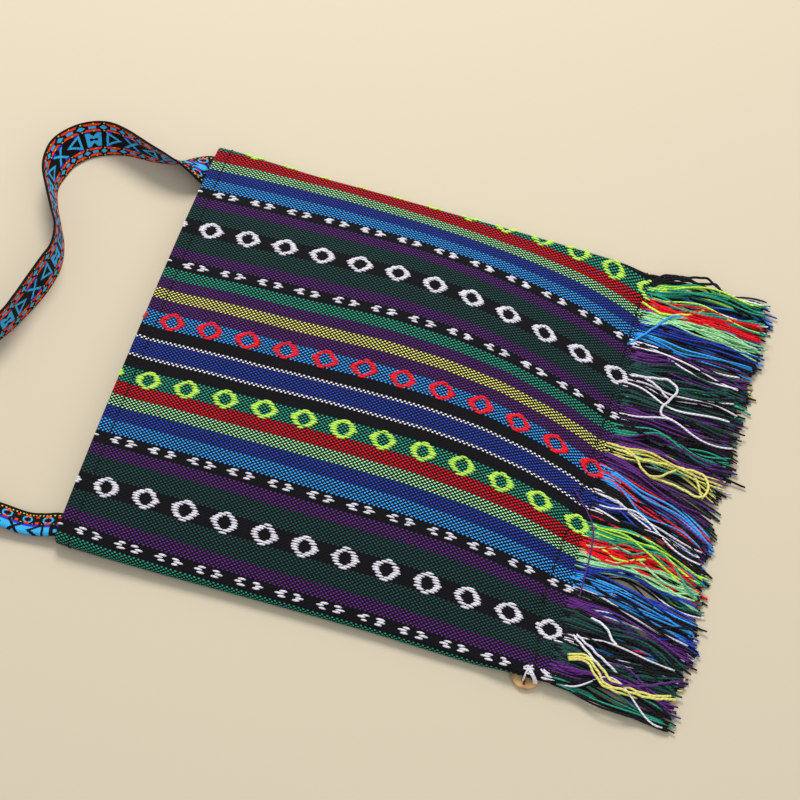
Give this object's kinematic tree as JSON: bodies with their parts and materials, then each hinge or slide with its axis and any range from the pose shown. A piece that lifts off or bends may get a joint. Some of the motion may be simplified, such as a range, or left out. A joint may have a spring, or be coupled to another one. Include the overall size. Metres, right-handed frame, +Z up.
{
  "type": "woven shoulder bag with fringe, ribbon strap and wooden button",
  "caption": "Flat square shoulder bag of striped, pattern-woven cloth, with a fringed bottom, a ribbon strap and a wooden button.",
  "frame": {"origin": "on the surface that the bag lies on, under the middle of its cloth body", "axes": "+X along the stripes from the open mouth to the fringe, +Y across the bag to its far fold, +Z up"},
  "size_m": [0.6498, 0.3217, 0.02],
  "materials": {
    "striped_cloth": "hand-woven wool and cotton, matt",
    "fringe_yarn": "twisted yarn, soft sheen",
    "strap_ribbon": "jacquard-woven ribbon, satin sheen",
    "button_wood": "plain turned wood, rubbed"
  },
  "bodies": {
    "root": {"bag_body": "striped_cloth", "fringe": "fringe_yarn", "strap": "strap_ribbon", "button": "button_wood"}
  },
  "joints": []
}
